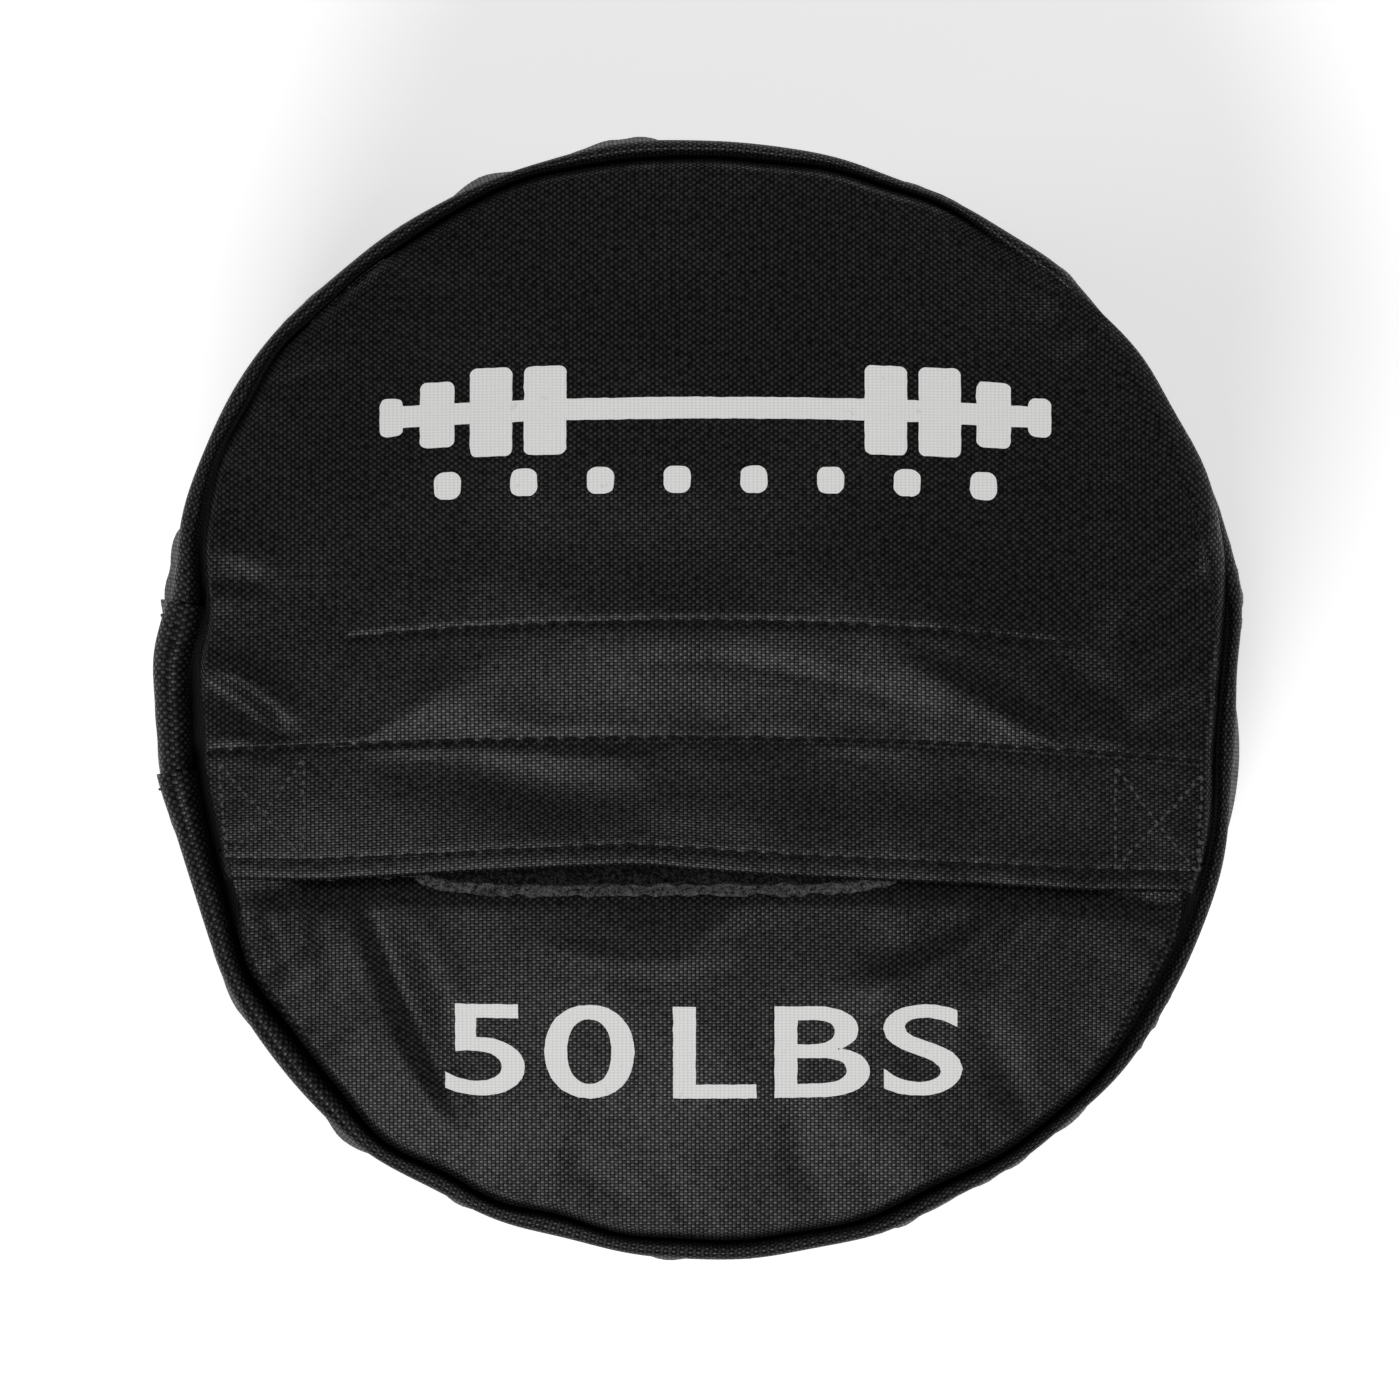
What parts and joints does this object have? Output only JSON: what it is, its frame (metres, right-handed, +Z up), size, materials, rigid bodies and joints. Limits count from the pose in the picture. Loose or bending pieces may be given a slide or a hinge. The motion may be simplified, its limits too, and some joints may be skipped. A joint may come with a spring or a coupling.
{
  "type": "sandbag",
  "caption": "Round woven cloth training sandbag, filled with sand and standing on its base, with a flap over the filling mouth in its lid.",
  "frame": {"origin": "centre of the base, on the surface that the bag stands on", "axes": "+Z up the axis of the bag towards the lid, +Y from the mouth towards the back of the lid, +X along the mouth, to the right for someone facing +Y"},
  "size_m": [0.2856, 0.285, 0.2509],
  "materials": {
    "nylon_cloth": "matt black coarse plain-woven nylon",
    "binding_tape": "matt black woven tape",
    "hook_tape": "black woven tape with stiff nylon hooks",
    "loop_tape": "black tape with a fuzzy looped face",
    "thread": "black bonded sewing thread, slightly glossy",
    "liner_film": "black plastic film",
    "sand": "dry pale brown sand"
  },
  "bodies": {
    "bag": {"side_wall": "nylon_cloth", "side_seam_strip": "nylon_cloth", "bottom_panel": "nylon_cloth", "lid_upper_panel": "nylon_cloth", "lid_lower_panel": "nylon_cloth", "flap_end_left": "nylon_cloth", "flap_end_right": "nylon_cloth", "chute_front_ply": "nylon_cloth", "chute_back_ply": "nylon_cloth", "top_seam_binding": "binding_tape", "bottom_seam_binding": "binding_tape", "loop_tape": "loop_tape", "hinge_stitching": "thread", "chute_stitching": "thread", "box_stitching_left": "thread", "box_stitching_right": "thread", "liner": "liner_film", "liner_tie": "liner_film", "sand_fill": "sand"},
    "flap": {"closure_flap": "nylon_cloth", "hook_tape": "hook_tape", "hem_stitching": "thread"}
  },
  "joints": [
    {"name": "flap_lift", "type": "hinge", "parent": "bag", "child": "flap", "pos_m": [0, -0.0103, 0.25], "axis": [-1, 0, 0], "range_deg": [0, 60]}
  ]
}
